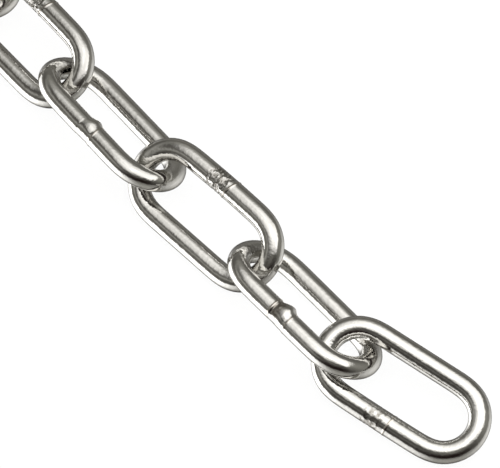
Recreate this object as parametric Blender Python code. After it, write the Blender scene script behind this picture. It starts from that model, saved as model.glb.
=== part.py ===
"""A one-foot cut of long-link steel chain, laid out in a nearly straight run on a level floor.

Six welded links of round bar. The run lies along +X, and link_1 is its end at +X.
Neighbouring links lean opposite ways, and the two end links have dropped almost flat.
Metres, +Z up. The origin is on the floor, under the middle of the chain's bounding box.
"""

from math import atan2, cos, pi, radians, sin

import bpy
from mathutils import Matrix, Vector

# The link, as chain lists give it: bar x pitch x outside width
BAR = 0.008
PITCH = 0.052
WIDTH = 0.033

# The butt weld in the middle of one leg: how far the upset metal reaches each way along the bar
WELD_REACH = 0.0045

# How the bar is divided
SIDES = 18
CROWN_STEPS = 12
PLAIN_LEG_STEPS = 3
WELD_STEPS = 6

# Edges that turn by less than this, in degrees, are shaded smooth
SMOOTH_BELOW = 30.0

STEEL_COLOUR = (0.62, 0.60, 0.57, 1.0)
STEEL_ROUGHNESS = 0.16

# Worked out from the link
BAR_RADIUS = BAR / 2
CROWN_RADIUS = (WIDTH - BAR) / 2
LEG_LENGTH = PITCH + BAR - 2 * CROWN_RADIUS
CENTRE_TO_CROWN = (PITCH + BAR) / 2
CORNER_RADIUS = BAR_RADIUS / cos(pi / SIDES)

# How each link lies, in degrees: heading from +X, lean about its own length, dip of its +X end.
LIE = {
    "link_1": dict(heading=15.0, lean=17.0, dip=4.4),
    "link_2": dict(heading=0.5, lean=-34.0, dip=0.0),
    "link_3": dict(heading=4.0, lean=38.0, dip=0.0),
    "link_4": dict(heading=-1.0, lean=-34.0, dip=0.0),
    "link_5": dict(heading=0.0, lean=34.0, dip=0.0),
    "link_6": dict(heading=-7.0, lean=-17.0, dip=-4.4),
}

# Each link's weld: the leg it is in, by the sign of that leg's side; its place off the leg's middle;
# how far the upset metal stands proud; and which way round the bar, in degrees from the link's outside.
WELDS = {
    "link_1": dict(side=-1, off=0.0020, bulge=0.0002, clock=90.0),
    "link_2": dict(side=-1, off=0.0000, bulge=0.0010, clock=130.0),
    "link_3": dict(side=1, off=0.0010, bulge=0.0002, clock=90.0),
    "link_4": dict(side=-1, off=0.0000, bulge=0.0010, clock=130.0),
    "link_5": dict(side=1, off=0.0005, bulge=0.0003, clock=90.0),
    "link_6": dict(side=1, off=0.0000, bulge=0.0010, clock=130.0),
}

# Which link each one hangs on, the way out from it along X, and how its crown bears there:
# the slack beyond touching bars, and the slide across the run.
ROOT = "link_3"
BEARINGS = {
    "link_2": dict(on="link_3", way=1, slack=0.0012, slide=-0.0006),
    "link_1": dict(on="link_2", way=1, slack=0.0070, slide=0.0010),
    "link_4": dict(on="link_3", way=-1, slack=0.0017, slide=0.0010),
    "link_5": dict(on="link_4", way=-1, slack=0.0010, slide=-0.0002),
    "link_6": dict(on="link_5", way=-1, slack=0.0080, slide=0.0010),
}


def clear_scene():
    """Removes whatever the new file holds."""
    for thing in list(bpy.data.objects):
        bpy.data.objects.remove(thing, do_unlink=True)


def steel(name):
    """Ground and polished stainless bar."""
    material = bpy.data.materials.new(name)
    material.use_nodes = True
    shader = material.node_tree.nodes["Principled BSDF"]
    shader.inputs["Base Color"].default_value = STEEL_COLOUR
    shader.inputs["Metallic"].default_value = 1.0
    shader.inputs["Roughness"].default_value = STEEL_ROUGHNESS
    return material


def leg_stations(side, weld):
    """Stations along one leg: place, outward normal, and how much of the weld is there."""
    half = LEG_LENGTH / 2
    outward = Vector((0, side, 0))
    welded = weld["side"] == side
    if welded:
        steps = [2 * step / WELD_STEPS - 1 for step in range(WELD_STEPS + 1)]
        places = [-half, *(weld["off"] + WELD_REACH * step for step in steps), half]
    else:
        places = [-half + LEG_LENGTH * step / PLAIN_LEG_STEPS for step in range(PLAIN_LEG_STEPS + 1)]
    stations = []
    for place in places:
        share = weld_share(place - weld["off"]) if welded else 0.0
        stations.append((Vector((place, side * CROWN_RADIUS, 0)), outward, share))
    return stations if side < 0 else stations[::-1]


def weld_share(distance):
    """One at the weld, falling smoothly to nothing at its reach."""
    if abs(distance) >= WELD_REACH:
        return 0.0
    return 0.5 + 0.5 * cos(pi * distance / WELD_REACH)


def crown_stations(way):
    """Stations round one crown, without the two that the legs already have."""
    centre = Vector((way * LEG_LENGTH / 2, 0, 0))
    stations = []
    for step in range(1, CROWN_STEPS):
        angle = pi * step / CROWN_STEPS - pi / 2
        outward = Vector((way * cos(angle), way * sin(angle), 0))
        stations.append((centre + CROWN_RADIUS * outward, outward, 0.0))
    return stations


def link_path(weld):
    """The closed centreline, anticlockwise from the -X end of the -Y leg."""
    path = leg_stations(-1, weld)
    path += crown_stations(1)
    path += leg_stations(1, weld)
    path += crown_stations(-1)
    return path


def link_mesh(name, lie, weld):
    """The welded link about its own centre, flat in XY, with a facet where it meets the floor."""
    facet_down = atan2(-cos(radians(lie["lean"])), abs(sin(radians(lie["lean"]))))
    first_corner = facet_down + pi / SIDES
    clock = radians(weld["clock"])
    path = link_path(weld)
    up = Vector((0, 0, 1))
    points = []
    for place, outward, share in path:
        half_bulge = share * weld["bulge"] / 2
        middle = place + half_bulge * (cos(clock) * outward + sin(clock) * up)
        radius = CORNER_RADIUS + half_bulge
        for corner in range(SIDES):
            angle = first_corner + 2 * pi * corner / SIDES
            points.append(middle + radius * (cos(angle) * outward + sin(angle) * up))
    faces = []
    rings = len(path)
    for ring in range(rings):
        after = (ring + 1) % rings
        for corner in range(SIDES):
            beside = (corner + 1) % SIDES
            faces.append((
                ring * SIDES + corner,
                after * SIDES + corner,
                after * SIDES + beside,
                ring * SIDES + beside,
            ))
    mesh = bpy.data.meshes.new(name)
    mesh.from_pydata(points, [], faces)
    mesh.validate()
    mesh.shade_smooth()
    mesh.set_sharp_from_angle(angle=radians(SMOOTH_BELOW))
    return mesh


def turn_of(lie):
    """The link's rotation: leaned about its length, dipped, then headed."""
    heading = Matrix.Rotation(radians(lie["heading"]), 4, "Z")
    dip = Matrix.Rotation(radians(lie["dip"]), 4, "Y")
    lean = Matrix.Rotation(radians(lie["lean"]), 4, "X")
    return heading @ dip @ lean


def rest_height(mesh, turn):
    """How high a turned link's centre is when its lowest point touches the floor."""
    return -min((turn @ vertex.co).z for vertex in mesh.vertices)


def crown_centre(centre, turn, way):
    """The middle of the bar at the tip of a crown."""
    return centre + turn @ Vector((way * CENTRE_TO_CROWN, 0, 0))


def lay_links(meshes):
    """Centres of the links, stepping out from the root, with their turns and the pivots they swing on."""
    turns = {name: turn_of(lie) for name, lie in LIE.items()}
    centres = {ROOT: Vector((0, 0, rest_height(meshes[ROOT], turns[ROOT])))}
    pivots = {ROOT: centres[ROOT].copy()}
    for name, bearing in BEARINGS.items():
        way = bearing["way"]
        pivot = crown_centre(centres[bearing["on"]], turns[bearing["on"]], way)
        along = Matrix.Rotation(radians(LIE[name]["heading"]), 4, "Z") @ Vector((way, 0, 0))
        across = Vector((0, 1, 0))
        tip = pivot - (BAR + bearing["slack"]) * along + bearing["slide"] * across
        centre = tip - turns[name] @ Vector((-way * CENTRE_TO_CROWN, 0, 0))
        centre.z = rest_height(meshes[name], turns[name])
        centres[name] = centre
        pivots[name] = pivot
    return centres, turns, pivots


def box_middle(meshes, centres, turns):
    """The middle of the whole chain's box, on the floor."""
    points = [
        centres[name] + turns[name] @ vertex.co
        for name, mesh in meshes.items()
        for vertex in mesh.vertices
    ]
    middle_x = (min(point.x for point in points) + max(point.x for point in points)) / 2
    middle_y = (min(point.y for point in points) + max(point.y for point in points)) / 2
    return Vector((middle_x, middle_y, 0))


def place_link(name, mesh, centre, turn, pivot, parent):
    """One link, with its origin at the pivot that it swings about."""
    mesh.transform(turn.inverted() @ Matrix.Translation(centre - pivot) @ turn)
    mesh.materials.append(steel(name + "_steel"))
    link = bpy.data.objects.new(name, mesh)
    bpy.context.scene.collection.objects.link(link)
    link.matrix_world = Matrix.Translation(pivot) @ turn
    if parent:
        bpy.context.view_layer.update()
        link.parent = parent
        link.matrix_parent_inverse = parent.matrix_world.inverted()
    return link


def build_chain():
    """Every link, hung on its neighbour, with the whole chain over the origin."""
    meshes = {name: link_mesh(name, lie, WELDS[name]) for name, lie in LIE.items()}
    centres, turns, pivots = lay_links(meshes)
    middle = box_middle(meshes, centres, turns)
    links = {}
    for name in [ROOT, *BEARINGS]:
        parent = links[BEARINGS[name]["on"]] if name in BEARINGS else None
        links[name] = place_link(
            name, meshes[name], centres[name] - middle, turns[name], pivots[name] - middle, parent
        )


clear_scene()
build_chain()
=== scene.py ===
"""A one-foot cut of polished stainless long-link chain, as it lies in the photograph.

Each CAD link is replaced by a fine one: the same bar bent to the same oval, with its butt weld.
Metres, +Z up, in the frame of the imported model.
"""

from math import cos, pi, radians, sin

import bpy
from mathutils import Matrix, Vector


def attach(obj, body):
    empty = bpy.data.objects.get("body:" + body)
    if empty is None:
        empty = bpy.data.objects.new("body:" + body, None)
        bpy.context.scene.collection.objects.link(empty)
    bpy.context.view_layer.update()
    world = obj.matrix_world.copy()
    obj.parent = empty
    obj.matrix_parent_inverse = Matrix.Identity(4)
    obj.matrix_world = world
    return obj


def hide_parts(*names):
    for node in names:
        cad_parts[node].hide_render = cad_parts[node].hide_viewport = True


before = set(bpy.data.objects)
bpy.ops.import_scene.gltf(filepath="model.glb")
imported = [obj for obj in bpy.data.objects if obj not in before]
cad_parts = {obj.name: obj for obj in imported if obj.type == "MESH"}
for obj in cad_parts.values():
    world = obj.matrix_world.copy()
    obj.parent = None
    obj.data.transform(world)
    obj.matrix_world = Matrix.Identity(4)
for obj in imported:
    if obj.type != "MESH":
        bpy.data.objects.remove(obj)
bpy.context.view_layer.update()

# Links 3 and 5
#
# Round stainless bar, 8 mm thick, bent to a long oval, butt welded in one leg and tumbled bright. In these
# two the weld is in the high leg at the back. The welder's clamp has dented the bar on one side of it, and
# the seam stays as a slanting ring.

BAR = 0.008
PITCH = 0.052
WIDTH = 0.033
BEND = (WIDTH - BAR) / 2
LEG = PITCH + BAR - 2 * BEND
ROUND = 2 * LEG + 2 * pi * BEND

# The bend doesn't start all at once. Each place on the bar is the mean of five places on a plain oval, and
# the link is drawn out again by what that takes off its length.
EASING = [(-0.0048, 1 / 9), (-0.0024, 2 / 9), (0.0, 3 / 9), (0.0024, 2 / 9), (0.0048, 1 / 9)]
EASED_BEND = BEND * sum(weight * cos(place / BEND) for place, weight in EASING)
EASED_STRETCH = (PITCH + BAR) / 2 / (LEG / 2 + EASED_BEND)

# How the skin is divided: rings close together at the weld and wider over the rest, and sides round the bar
WELD_ZONE = 0.0090
WELD_RINGS = 160
PLAIN_RINGS = 330
SIDES = 80

# The steel: tumbled bright, duller where it was welded and gripped, with painted shade on the weld hump's
# slope
BRIGHT_STEEL = (0.690, 0.679, 0.657, 1.0)
TUMBLED_STEEL = (0.610, 0.598, 0.572, 1.0)
HEATED_STEEL = (0.600, 0.510, 0.420, 1.0)
# Painted shade: the dark that the slope of a weld hump mirrors, painted into the steel's colour
PAINTED_SHADE_STEEL = (0.240, 0.210, 0.175, 1.0)
GRIPPED_STEEL = (0.200, 0.183, 0.158, 1.0)
MICRON = 0.000001


class Field:
    """A number that changes over the surface: one node's output, with sums that add math nodes."""

    def __init__(self, socket):
        self.socket = socket
        self.tree = socket.id_data

    def math(self, operation, *others):
        node = self.tree.nodes.new("ShaderNodeMath")
        node.operation = operation
        for place, value in enumerate((self, *others)):
            feed(node.inputs[place], value)
        return Field(node.outputs[0])

    def __add__(self, other):
        return self.math("ADD", other)

    def __sub__(self, other):
        return self.math("SUBTRACT", other)

    def __rsub__(self, other):
        return (self * -1.0) + other

    def __mul__(self, other):
        return self.math("MULTIPLY", other)

    def __truediv__(self, other):
        return self.math("DIVIDE", other)

    __radd__ = __add__
    __rmul__ = __mul__


def feed(socket, value):
    """Links a field into a socket, or sets the socket to a plain value."""
    if isinstance(value, Field):
        socket.id_data.links.new(value.socket, socket)
    elif value is not None:
        socket.default_value = value


def add_node(tree, kind, settings=None, **inputs):
    """One node, with its settings, and its inputs by name with _ for a space."""
    node = tree.nodes.new(kind)
    for name, value in (settings or {}).items():
        setattr(node, name, value)
    for name, value in inputs.items():
        feed(node.inputs[name.replace("_", " ")], value)
    return node


def between(value, low, high):
    """value, held between low and high."""
    return value.math("MAXIMUM", low).math("MINIMUM", high)


def rise(value, low, high):
    """Nothing below low, one above high, and a smooth climb between."""
    node = add_node(
        value.tree, "ShaderNodeMapRange", {"interpolation_type": "SMOOTHSTEP"},
        Value=value, From_Min=low, From_Max=high,
    )
    return Field(node.outputs[0])


def hump(value, middle, reach):
    """One at the middle, falling smoothly to nothing at the reach."""
    return rise((value - middle).math("ABSOLUTE"), reach, 0.0)


def vector_of(tree, x, y, z):
    """Three numbers as one vector."""
    node = tree.nodes.new("ShaderNodeCombineXYZ")
    for place, value in enumerate((x, y, z)):
        feed(node.inputs[place], value)
    return Field(node.outputs[0])


def on_the_bar(loop_turn, bar_turn, scale, detail=2.0, roughness=0.5, stretch=1.0, seed=0.0):
    """Noise from about 0 to 1 on the bar, in patches to the metre, drawn out along it by the stretch.

    The loop and the bar's own round are both circles here, so the pattern has no seam.
    """
    loop_radius = ROUND / (2 * pi) / stretch
    bar_radius = BAR / 2
    node = add_node(
        loop_turn.tree, "ShaderNodeTexNoise", {"noise_dimensions": "4D"},
        Vector=vector_of(
            loop_turn.tree,
            loop_turn.math("COSINE") * loop_radius,
            loop_turn.math("SINE") * loop_radius,
            bar_turn.math("COSINE") * bar_radius,
        ),
        W=bar_turn.math("SINE") * bar_radius + seed,
        Scale=scale, Detail=detail, Roughness=roughness,
    )
    return Field(node.outputs[0])


# What one link is made to. Places run along the link's +X from the weld, clocks go round the bar from the
# link's outside, and the rings' slant is how far they lean along the bar.
LINK_INPUTS = {
    "Bar": BAR,
    "Leg": LEG,
    "Bend": BEND,
    "Weld side": 0.0,
    "Weld place": 0.0,
    "Bow": 0.0,
    "Step": 0.0,
    "Hump height": 0.0,
    "Hump clock": 0.0,
    "Hump start": -0.0038,
    "Hump peak": 0.0010,
    "Hump end": 0.0038,
    "Neck depth": 0.0,
    "Groove depth": 0.0,
    "Ring 1 height": 0.0,
    "Ring 1 place": -0.0042,
    "Ring 2 height": 0.0,
    "Ring 2 place": 0.0040,
    "Ring slant": 0.0,
    "Ring clock": 0.0,
    "Dent 1 depth": 0.0,
    "Dent 1 place": 0.0,
    "Dent 1 clock": 0.0,
    "Dent 1 reach": 0.0016,
    "Dent 2 depth": 0.0,
    "Dent 2 place": 0.0,
    "Dent 2 clock": 0.0,
    "Dent 2 reach": 0.0016,
    "Bite depth": 0.0,
    "Bite start": -0.006,
    "Bite end": 0.0,
    "Bite clock": 0.0,
    "Wave": 0.000030,
    "Seed": 0.0,
}


def oval(size, way):
    """A place on the plain oval: how far it is along the legs, and the way outward there."""
    half_turn = pi * size["Bend"]
    first = between(way, 0.0, size["Leg"] / 2)
    first_bend = between(way - size["Leg"] / 2, 0.0, half_turn)
    back = between(way - size["Leg"] / 2 - half_turn, 0.0, size["Leg"])
    second_bend = between(way - 1.5 * size["Leg"] - half_turn, 0.0, half_turn)
    last = between(way - 1.5 * size["Leg"] - 2 * half_turn, 0.0, size["Leg"] / 2)
    turned = (first_bend + second_bend) / size["Bend"]
    return first - back + last, turned.math("SINE"), -1.0 * turned.math("COSINE")


def link_tree():
    """A flat grid rolled into a bar, bent to a long oval and closed at the ends."""
    tree = bpy.data.node_groups.new("welded_link", "GeometryNodeTree")
    tree.is_modifier = True
    tree.interface.new_socket("Geometry", in_out="INPUT", socket_type="NodeSocketGeometry")
    for name, value in LINK_INPUTS.items():
        socket = tree.interface.new_socket(name, in_out="INPUT", socket_type="NodeSocketFloat")
        socket.default_value = value
    tree.interface.new_socket("Steel", in_out="INPUT", socket_type="NodeSocketMaterial")
    tree.interface.new_socket("Geometry", in_out="OUTPUT", socket_type="NodeSocketGeometry")
    entry = tree.nodes.new("NodeGroupInput")
    size = {name: Field(entry.outputs[name]) for name in LINK_INPUTS}

    rings = WELD_RINGS + PLAIN_RINGS
    grid = add_node(
        tree, "GeometryNodeMeshGrid", None,
        Size_X=1.0, Size_Y=1.0, Vertices_X=rings + 1, Vertices_Y=SIDES + 1,
    )
    flat = add_node(tree, "ShaderNodeSeparateXYZ", None, Vector=Field(add_node(
        tree, "GeometryNodeInputPosition").outputs[0]))
    along = Field(flat.outputs["X"]) * rings
    clock = (Field(flat.outputs["Y"]) + 0.5) * (2 * pi)

    # The way along the bar from the weld: short steps in the weld's zone, longer ones past it
    half_rings = WELD_RINGS / 2
    plain_step = (ROUND / 2 - WELD_ZONE) / (PLAIN_RINGS / 2)
    near = between(along, -half_rings, half_rings)
    from_weld = near * (WELD_ZONE / half_rings) + (along - near) * plain_step

    # The same way from the middle of the -Y leg, and round the oval from there
    lap = 2 * size["Leg"] + 2 * pi * size["Bend"]
    start = size["Weld place"] + size["Weld side"] * (lap / 2 - 2 * size["Weld place"])
    middle_x, middle_y, turn_x, turn_y = 0.0, 0.0, 0.0, 0.0
    for place, weight in EASING:
        spine, bent_x, bent_y = oval(size, (from_weld + start + place).math("WRAP", lap, 0.0))
        middle_x = (spine + size["Bend"] * bent_x) * weight + middle_x
        middle_y = size["Bend"] * bent_y * weight + middle_y
        turn_x = bent_x * weight + turn_x
        turn_y = bent_y * weight + turn_y
    turn_length = (turn_x * turn_x + turn_y * turn_y).math("SQRT")
    out_x = turn_x / turn_length
    out_y = turn_y / turn_length
    middle_x = middle_x * EASED_STRETCH

    # The weld, with x along the leg's own +X whichever leg it is in
    weld_x = from_weld * (1.0 - 2.0 * size["Weld side"])
    zone = rise(from_weld.math("ABSOLUTE"), 0.017, 0.009)
    lobe = ((clock - size["Hump clock"]).math("COSINE") * 0.5 + 0.5).math("POWER", 1.4)
    climb = rise(weld_x, size["Hump start"], size["Hump peak"])
    swell = climb * rise(weld_x, size["Hump end"], size["Hump peak"]) * size["Hump height"] * lobe
    necked = rise(weld_x, size["Hump start"], size["Hump start"] + 0.0008) * rise(
        weld_x, size["Hump end"], size["Hump end"] - 0.0008)
    neck = necked * size["Neck depth"] * (1.0 - lobe)
    slant = size["Ring slant"] * (clock - size["Ring clock"]).math("COSINE")
    ring_1_x = weld_x - size["Ring 1 place"] - slant
    ring_2_x = weld_x - size["Ring 2 place"] - slant
    ring_1 = hump(ring_1_x, 0.0, 0.00060) * size["Ring 1 height"]
    ring_2 = hump(ring_2_x, 0.0, 0.00060) * size["Ring 2 height"]
    groove = rise(ring_1_x, 0.0003, 0.0009) * rise(ring_1_x, 0.0024, 0.0010) * size["Groove depth"]
    on_top = rise((clock - radians(100)).math("COSINE"), -0.5, 0.3)
    ring_1 = ring_1 * on_top
    groove = groove * on_top

    # Dents: round ones with a low rim, pressed by the jaw's teeth
    dents = 0.0
    dented = 0.0
    for name in ("Dent 1", "Dent 2"):
        along_dent = (weld_x - size[name + " place"]) / size[name + " reach"]
        round_dent = (clock - size[name + " clock"]).math("WRAP", pi, -pi) * (BAR / 2) / size[name + " reach"]
        far = (along_dent * along_dent + round_dent * round_dent).math("SQRT")
        dents = (rise(far, 1.0, 0.35) - hump(far, 1.05, 0.35) * 0.22) * size[name + " depth"] + dents
        dented = rise(far, 1.1, 0.6) * rise(size[name + " depth"], 0.0, 0.00005) + dented

    # Bites: the jaw's ragged marks, deepest at the bite's clock
    loop_turn = from_weld * (2 * pi / ROUND)
    ragged = on_the_bar(loop_turn, clock, 620.0, 2.0, 0.55, stretch=0.7, seed=size["Seed"])
    jaw = rise((clock - size["Bite clock"]).math("COSINE"), -0.35, 0.45)
    edge = (on_the_bar(loop_turn, clock, 380.0, 1.0, seed=size["Seed"] + 2.0) - 0.5) * 0.003
    gripped = rise(weld_x + edge, size["Bite start"], size["Bite start"] + 0.0010) * rise(
        weld_x + edge, size["Bite end"], size["Bite end"] - 0.0010) * jaw
    marks = gripped * rise(ragged, 0.40, 0.62)
    bite = marks * size["Bite depth"]
    waves = (on_the_bar(loop_turn, clock, 75.0, 2.0, seed=size["Seed"] + 3.0) - 0.5) * size["Wave"]
    lumps = swell - neck - groove + ring_1 + ring_2 - dents - bite
    radius = size["Bar"] / 2 + waves + zone * lumps

    # The leg stands out a little at the weld, and its two halves don't quite meet
    bow = size["Bow"] * hump(from_weld, 0.0, 0.0270)
    step = (rise(weld_x, -0.0015, 0.0025) - 0.5) * rise(from_weld.math("ABSOLUTE"), 0.0165, 0.004)
    step = step * size["Step"]
    out = bow + step + radius * clock.math("COSINE")
    shaped = vector_of(tree, middle_x + out * out_x, middle_y + out * out_y, radius * clock.math("SINE"))

    # The bar's own map for its finish, the gripped patches, the metal that the weld heated, and the painted
    # shade on the weld hump's slope
    turns = vector_of(tree, from_weld / lap + 0.5, clock / (2 * pi), 0.0)
    has_bite = rise(size["Bite depth"], 0.0, 0.00001)
    has_ring_1 = rise(size["Ring 1 height"], 0.0, 0.00010)
    has_ring_2 = rise(size["Ring 2 height"], 0.0, 0.00010)
    # Painted shade: the hump's slope from the first ring on, on its top side, darkened in colour where it
    # would mirror dark
    painted_shade = rise(ring_1_x, 0.0001, 0.0006) * rise(ring_1_x, 0.0052, 0.0024)
    painted_shade = painted_shade * rise(size["Groove depth"], 0.0, 0.00010) * on_top
    heat = hump(ring_1_x, -0.0001, 0.0006) * has_ring_1 + hump(ring_2_x, -0.0001, 0.0006) * has_ring_2
    skin = Field(grid.outputs["Mesh"])
    for name, kind, domain, value in (
        ("bar", "FLOAT2", "CORNER", turns),
        ("gripped", "FLOAT", "POINT", between(marks * has_bite + dented * 0.5, 0.0, 1.0) * zone),
        ("heated", "FLOAT", "POINT", between(heat, 0.0, 1.0) * zone),
        ("painted_shade", "FLOAT", "POINT", painted_shade * zone),
    ):
        stored = add_node(
            tree, "GeometryNodeStoreNamedAttribute", {"data_type": kind, "domain": domain},
            Geometry=skin, Name=name, Value=value,
        )
        skin = Field(stored.outputs[0])
    rolled = add_node(tree, "GeometryNodeSetPosition", None, Geometry=skin, Position=shaped)
    closed = add_node(
        tree, "GeometryNodeMergeByDistance", None, Geometry=Field(rolled.outputs[0]), Distance=2 * MICRON)
    smooth = add_node(tree, "GeometryNodeSetShadeSmooth", None, Geometry=Field(closed.outputs[0]))
    solid = add_node(tree, "GeometryNodeRealizeInstances", None, Geometry=Field(smooth.outputs[0]))
    steel = add_node(
        tree, "GeometryNodeSetMaterial", None,
        Geometry=Field(solid.outputs[0]), Material=Field(entry.outputs["Steel"]),
    )
    exit_node = tree.nodes.new("NodeGroupOutput")
    feed(exit_node.inputs[0], Field(steel.outputs[0]))
    return tree


def blend(tree, share, first, second):
    """A colour between two, by a share from 0 to 1."""
    node = add_node(tree, "ShaderNodeMix", {"data_type": "RGBA"})
    feed(node.inputs[0], share)
    feed(node.inputs[6], first)
    feed(node.inputs[7], second)
    return Field(node.outputs[2])


def polished_steel():
    """Stainless bar, drawn, bent and tumbled bright."""
    material = bpy.data.materials.new("polished_stainless")
    material.use_nodes = True
    tree = material.node_tree
    shader = tree.nodes["Principled BSDF"]
    turns = add_node(tree, "ShaderNodeSeparateXYZ", None, Vector=Field(
        add_node(tree, "ShaderNodeUVMap", {"uv_map": "bar"}).outputs[0]))
    loop_turn = Field(turns.outputs["X"]) * (2 * pi)
    bar_turn = Field(turns.outputs["Y"]) * (2 * pi)
    gripped = Field(add_node(tree, "ShaderNodeAttribute", {"attribute_name": "gripped"}).outputs["Fac"])
    heated = Field(add_node(tree, "ShaderNodeAttribute", {"attribute_name": "heated"}).outputs["Fac"])
    painted_shade = Field(add_node(tree, "ShaderNodeAttribute", {"attribute_name": "painted_shade"}).outputs["Fac"])

    # Drawing lines along the bar, tumbling ripple, small dings, and the ragged metal in the bites
    lines = on_the_bar(loop_turn, bar_turn, 2400.0, 3.0, 0.6, stretch=30.0)
    ripple = on_the_bar(loop_turn, bar_turn, 760.0, 2.0, 0.5, stretch=1.2, seed=5.0)
    ding = rise(on_the_bar(loop_turn, bar_turn, 520.0, 1.0, 0.5, seed=9.0), 0.70, 0.80)
    ragged = on_the_bar(loop_turn, bar_turn, 2600.0, 3.0, 0.6, seed=12.0)
    height = (lines - 0.5) * 12.0 + (ripple - 0.5) * 85.0 - ding * 20.0 + ragged * gripped * 60.0
    bump = add_node(tree, "ShaderNodeBump", None, Strength=1.0, Distance=MICRON, Height=height)
    tree.links.new(bump.outputs[0], shader.inputs["Normal"])

    cloud = on_the_bar(loop_turn, bar_turn, 130.0, 3.0, 0.6, stretch=2.0, seed=20.0)
    haze = rise(cloud, 0.40, 0.70)
    spots = rise(on_the_bar(loop_turn, bar_turn, 900.0, 3.0, 0.6, seed=30.0), 0.35, 0.65)
    colour = blend(tree, haze * 0.35 + (1.0 - lines) * 0.20, BRIGHT_STEEL, TUMBLED_STEEL)
    colour = blend(tree, heated * 0.45, colour, HEATED_STEEL)
    # Painted shade on the weld hump's slope, in spots
    colour = blend(tree, painted_shade * (spots * 0.4 + 0.5), colour, PAINTED_SHADE_STEEL)
    colour = blend(tree, gripped * (spots * 0.45 + 0.50), colour, GRIPPED_STEEL)
    feed(shader.inputs["Base Color"], colour)
    rough = haze * 0.03 + lines * 0.03 + heated * 0.08 + painted_shade * 0.12 + gripped * 0.16 + 0.030
    feed(shader.inputs["Roughness"], rough)
    shader.inputs["Metallic"].default_value = 1.0
    return material


welded_link = link_tree()
steel = polished_steel()


def lay_of(node, heading, lean, dip):
    """Where a CAD link lies, found from its own crowns."""
    turn = (
        Matrix.Rotation(radians(heading), 4, "Z")
        @ Matrix.Rotation(radians(dip), 4, "Y")
        @ Matrix.Rotation(radians(lean), 4, "X")
    )
    back = turn.inverted()
    points = [back @ vertex.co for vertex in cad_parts[node].data.vertices]
    along = [point.x for point in points]
    middle_x = (min(along) + max(along)) / 2
    crowns = [point for point in points if abs(point.x - middle_x) > LEG / 2]
    across = [point.y for point in crowns]
    upward = [point.z for point in crowns]
    middle = Vector((middle_x, (min(across) + max(across)) / 2, (min(upward) + max(upward)) / 2))
    return Matrix.Translation(turn @ middle) @ turn


def make_link(node, lie, weld):
    """One finished link in place of its CAD node."""
    blank = bpy.data.objects.new(node + "_blank", bpy.data.meshes.new(node + "_blank"))
    bpy.context.scene.collection.objects.link(blank)
    roll = blank.modifiers.new("roll", "NODES")
    roll.node_group = welded_link
    for socket in welded_link.interface.items_tree:
        if socket.in_out == "INPUT" and socket.name in weld:
            roll[socket.identifier] = weld[socket.name]
        if socket.in_out == "INPUT" and socket.name == "Steel":
            roll[socket.identifier] = steel
    bpy.context.view_layer.update()
    graph = bpy.context.evaluated_depsgraph_get()
    mesh = bpy.data.meshes.new_from_object(blank.evaluated_get(graph))
    bpy.data.objects.remove(blank)
    mesh.transform(lay_of(node, **lie))
    mesh.name = node + "_steel"
    link = bpy.data.objects.new(node + "_steel", mesh)
    bpy.context.scene.collection.objects.link(link)
    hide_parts(node)
    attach(link, node)
    return link


CLAMPED_WELD = {
    "Weld side": 1.0,
    "Bow": 0.00035,
    "Ring 1 height": 0.00003,
    "Ring 2 height": 0.00017,
    "Ring slant": 0.0010,
    "Ring clock": radians(10),
    "Bite depth": 0.00024,
    "Bite start": -0.0080,
    "Bite clock": radians(85),
}
make_link("link_3", dict(heading=4.0, lean=38.0, dip=0.0), {
    **CLAMPED_WELD, "Weld place": 0.0010, "Ring 1 place": -0.0078, "Ring 2 place": 0.0015,
    "Dent 1 depth": 0.00030, "Dent 1 place": -0.0012, "Dent 1 clock": radians(60),
    "Dent 2 depth": 0.00034, "Dent 2 place": -0.0026, "Dent 2 clock": radians(122),
    "Bite end": 0.0012, "Seed": 0.7})
make_link("link_5", dict(heading=0.0, lean=34.0, dip=0.0), {
    **CLAMPED_WELD, "Weld place": 0.0005, "Ring 1 place": -0.0078, "Ring 2 place": 0.0020,
    "Dent 1 depth": 0.00016, "Dent 1 place": -0.0010, "Dent 1 clock": radians(75),
    "Dent 2 depth": 0.00020, "Dent 2 place": -0.0030, "Dent 2 clock": radians(130),
    "Bite end": 0.0006, "Seed": 1.9})

# Links 2, 4 and 6
#
# The same bar and the same bend. Here the welded metal was pushed up to one side of the leg. It left a
# rounded hump that the tumbling has polished, with a low ring on each side and a groove by one ring. The
# hump's slope past that ring has painted shade in its colour, for the dark it mirrors.

HUMPED_WELD = {
    "Step": 0.00022,
    "Hump height": 0.00125,
    "Hump clock": radians(128),
    "Neck depth": 0.00014,
    "Groove depth": 0.00020,
    "Ring 1 height": 0.00013,
    "Ring 2 height": 0.00008,
    "Ring slant": 0.0003,
}
make_link("link_2", dict(heading=0.5, lean=-34.0, dip=0.0), {**HUMPED_WELD, "Seed": 3.1})
make_link("link_4", dict(heading=-1.0, lean=-34.0, dip=0.0), {
    **HUMPED_WELD, "Step": -0.00022, "Hump height": 0.00085, "Groove depth": 0.0,
    "Ring 1 height": 0.0, "Ring 2 height": 0.00009, "Hump start": -0.0030, "Seed": 4.3})
make_link("link_6", dict(heading=-7.0, lean=-17.0, dip=-4.4), {
    **HUMPED_WELD, "Weld side": 1.0, "Seed": 5.9})

# Link 1
#
# The free end link, lying almost flat. Its weld was ground down to the bar. A low ring is left, and the
# scuffed marks of the jaw that held it.

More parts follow.
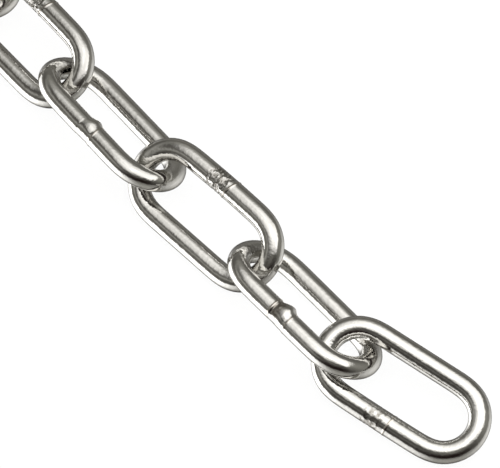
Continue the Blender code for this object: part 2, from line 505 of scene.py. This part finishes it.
GROUND_WELD = {
    "Weld place": 0.0020,
    "Bow": 0.00020,
    "Ring 1 height": 0.00002,
    "Ring 1 place": -0.0075,
    "Ring 2 height": 0.00012,
    "Ring 2 place": 0.0016,
    "Ring slant": -0.0004,
    "Dent 1 depth": 0.00012,
    "Dent 1 place": -0.0060,
    "Dent 1 clock": radians(60),
    "Dent 1 reach": 0.0013,
    "Dent 2 depth": 0.00010,
    "Dent 2 place": -0.0030,
    "Dent 2 clock": radians(45),
    "Dent 2 reach": 0.0012,
    "Bite depth": 0.00010,
    "Bite start": -0.0085,
    "Bite end": -0.0002,
    "Bite clock": radians(50),
    "Seed": 7.3,
}
make_link("link_1", dict(heading=15.0, lean=17.0, dip=4.4), GROUND_WELD)

# Camera
#
# It stands where the photo was taken from, in front of the low free end and 60 degrees up, and far enough
# back that the bars keep the same width down the run.

CAMERA_AZIMUTH = radians(49.24)
CAMERA_ELEVATION = radians(60.08)
CAMERA_DISTANCE = 1.500
AIM = Vector((0.03609, 0.00525, 0.0))
LENS = 306.9
toward_camera = Vector((
    sin(CAMERA_AZIMUTH) * cos(CAMERA_ELEVATION),
    -cos(CAMERA_AZIMUTH) * cos(CAMERA_ELEVATION),
    sin(CAMERA_ELEVATION),
))
camera_data = bpy.data.cameras.new("camera")
camera_data.lens = LENS
camera_data.clip_start = 0.05
camera = bpy.data.objects.new("camera", camera_data)
bpy.context.scene.collection.objects.link(camera)
camera.location = AIM + toward_camera * CAMERA_DISTANCE
camera.rotation_euler = (-toward_camera).to_track_quat("-Z", "Y").to_euler()
bpy.context.scene.camera = camera
level_right = Vector((cos(CAMERA_AZIMUTH), sin(CAMERA_AZIMUTH), 0.0))
level_away = Vector((-sin(CAMERA_AZIMUTH), cos(CAMERA_AZIMUTH), 0.0))

# Floor
#
# A sheet of thin milky acrylic over a lit white table, so the ground is plain white all round the chain and
# keeps only a breath of a shadow.

FLOOR_SIZE = 6.0
FLOOR_MILK = 0.15
floor_data = bpy.data.meshes.new("floor")
half = FLOOR_SIZE / 2
floor_corners = [(-half, -half, 0), (half, -half, 0), (half, half, 0), (-half, half, 0)]
floor_data.from_pydata(floor_corners, [], [(0, 1, 2, 3)])
floor = bpy.data.objects.new("floor", floor_data)
bpy.context.scene.collection.objects.link(floor)
milky = bpy.data.materials.new("milky_acrylic")
milky.use_nodes = True
milky.node_tree.nodes.clear()
clear_part = add_node(milky.node_tree, "ShaderNodeBsdfTransparent")
white_part = add_node(milky.node_tree, "ShaderNodeBsdfDiffuse", None, Color=(0.93, 0.93, 0.92, 1.0))
mixed = add_node(milky.node_tree, "ShaderNodeMixShader", None, Fac=FLOOR_MILK)
milky.node_tree.links.new(clear_part.outputs[0], mixed.inputs[1])
milky.node_tree.links.new(white_part.outputs[0], mixed.inputs[2])
sheet_out = add_node(milky.node_tree, "ShaderNodeOutputMaterial")
milky.node_tree.links.new(mixed.outputs[0], sheet_out.inputs[0])
floor_data.materials.append(milky)

# Softbox
#
# One level softbox over the chain, a little to the right of the camera's line, and brighter to the right and
# toward the camera. Its edges fade out, which gives each bar a light stripe with soft sides.

SOFTBOX_HEIGHT = 0.280
SOFTBOX_RIGHT = 0.090
SOFTBOX_AWAY = -0.010
SOFTBOX_HALF_LENGTH = 0.290
SOFTBOX_HALF_WIDTH = 0.198
SOFTBOX_FADE = 0.085
SOFTBOX_TURN = -0.180
SOFTBOX_GLOW = 0.93
BRIGHTER_RIGHT = 2.2
BRIGHTER_NEAR = 1.7
long_side = SOFTBOX_HALF_LENGTH + SOFTBOX_FADE
short_side = SOFTBOX_HALF_WIDTH + SOFTBOX_FADE
softbox_data = bpy.data.meshes.new("softbox")
softbox_data.from_pydata(
    [(-long_side, -short_side, 0), (-long_side, short_side, 0),
     (long_side, short_side, 0), (long_side, -short_side, 0)],
    [], [(0, 1, 2, 3)],
)
softbox = bpy.data.objects.new("softbox", softbox_data)
bpy.context.scene.collection.objects.link(softbox)
softbox.location = (
    level_right * SOFTBOX_RIGHT + level_away * SOFTBOX_AWAY + Vector((0, 0, SOFTBOX_HEIGHT))
)
softbox.rotation_euler = (0, 0, CAMERA_AZIMUTH + SOFTBOX_TURN)
softbox.visible_camera = False
glow = bpy.data.materials.new("softbox_glow")
glow.use_nodes = True
tree = glow.node_tree
tree.nodes.clear()
spot = add_node(tree, "ShaderNodeSeparateXYZ", None, Vector=Field(
    add_node(tree, "ShaderNodeTexCoord").outputs["Object"]))
across_box = Field(spot.outputs["X"])
fade = rise(across_box.math("ABSOLUTE"), long_side, SOFTBOX_HALF_LENGTH - SOFTBOX_FADE)
fade = fade * rise(Field(spot.outputs["Y"]).math("ABSOLUTE"), short_side, SOFTBOX_HALF_WIDTH - SOFTBOX_FADE)
brighter = across_box * BRIGHTER_RIGHT - Field(spot.outputs["Y"]) * BRIGHTER_NEAR + 1.0
shine = add_node(
    tree, "ShaderNodeEmission", None, Color=(1.0, 0.99, 0.975, 1.0), Strength=fade * brighter * SOFTBOX_GLOW)
see_through = add_node(tree, "ShaderNodeBsdfTransparent")
summed = add_node(tree, "ShaderNodeAddShader")
tree.links.new(shine.outputs[0], summed.inputs[0])
tree.links.new(see_through.outputs[0], summed.inputs[1])
box_out = add_node(tree, "ShaderNodeOutputMaterial")
tree.links.new(summed.outputs[0], box_out.inputs[0])
softbox_data.materials.append(glow)

# Room
#
# What the steel mirrors past the softbox: for each side of the room, how bright it is at each height in
# degrees, from the lit table below to the ceiling. Behind the camera the wall is dark.

HEIGHTS = (-80, -62, -50, -30, -8, -2, 4, 12, 20, 30, 40, 50, 62, 75)
ROOM = {
    "near": (0.10, 0.20, 0.35, 0.36, 0.18, 0.06, 0.03, 0.01, 0.01, 0.04, 0.12, 0.18, 0.30, 0.95),
    "right": (0.15, 0.40, 0.80, 1.00, 0.60, 0.28, 0.26, 0.26, 0.28, 0.30, 0.32, 0.36, 0.55, 0.95),
    "far": (0.05, 0.08, 0.08, 0.06, 0.12, 0.20, 0.22, 0.16, 0.17, 0.28, 0.38, 0.46, 0.72, 0.90),
    "left": (0.02, 0.60, 2.20, 3.40, 3.20, 0.50, 0.26, 0.14, 0.24, 0.42, 0.14, 0.08, 0.40, 0.80),
}
SIDES_OF_ROOM = {"near": -level_away, "right": level_right, "far": level_away, "left": -level_right}
BACKDROP = 1.10


def warm(brightness):
    """A wall's colour: its dark parts are browner than its light ones."""
    return (brightness + 0.006, brightness, brightness - 0.03 * min(1.0, brightness / 0.3), 1.0)


world = bpy.data.worlds.new("studio")
bpy.context.scene.world = world
world.use_nodes = True
tree = world.node_tree
tree.nodes.clear()
looked = Field(add_node(tree, "ShaderNodeTexCoord").outputs["Generated"])
parts = add_node(tree, "ShaderNodeSeparateXYZ", None, Vector=looked)
level = vector_of(tree, Field(parts.outputs["X"]), Field(parts.outputs["Y"]), 0.0)
level = add_node(tree, "ShaderNodeVectorMath", {"operation": "NORMALIZE"}, Vector=level)
height = Field(parts.outputs["Z"]).math("ARCSINE") * (180 / pi)
total = None
for side, way in SIDES_OF_ROOM.items():
    facing = add_node(tree, "ShaderNodeVectorMath", {"operation": "DOT_PRODUCT"})
    tree.links.new(level.outputs[0], facing.inputs[0])
    facing.inputs[1].default_value = way
    share = Field(facing.outputs["Value"]).math("MAXIMUM", 0.0).math("POWER", 3.0)
    ramp = add_node(tree, "ShaderNodeValToRGB", None, Fac=height / 180 + 0.5)
    stops = ramp.color_ramp.elements
    for place, (angle, brightness) in enumerate(zip(HEIGHTS, ROOM[side])):
        stop = stops[place] if place < 2 else stops.new(angle / 180 + 0.5)
        stop.position = angle / 180 + 0.5
        stop.color = warm(brightness)
    wall = add_node(tree, "ShaderNodeVectorMath", {"operation": "SCALE"})
    tree.links.new(ramp.outputs["Color"], wall.inputs[0])
    feed(wall.inputs["Scale"], share)
    if total is None:
        total = wall
    else:
        both = add_node(tree, "ShaderNodeVectorMath", {"operation": "ADD"})
        tree.links.new(total.outputs[0], both.inputs[0])
        tree.links.new(wall.outputs[0], both.inputs[1])
        total = both
room = add_node(tree, "ShaderNodeBackground")
tree.links.new(total.outputs[0], room.inputs["Color"])
backdrop = add_node(tree, "ShaderNodeBackground", None, Color=(1.0, 1.0, 1.0, 1.0), Strength=BACKDROP)
chosen = add_node(tree, "ShaderNodeMixShader", None, Fac=Field(
    add_node(tree, "ShaderNodeLightPath").outputs["Is Camera Ray"]))
tree.links.new(room.outputs[0], chosen.inputs[1])
tree.links.new(backdrop.outputs[0], chosen.inputs[2])
world_out = add_node(tree, "ShaderNodeOutputWorld")
tree.links.new(chosen.outputs[0], world_out.inputs[0])
bpy.context.scene.view_settings.view_transform = "Standard"
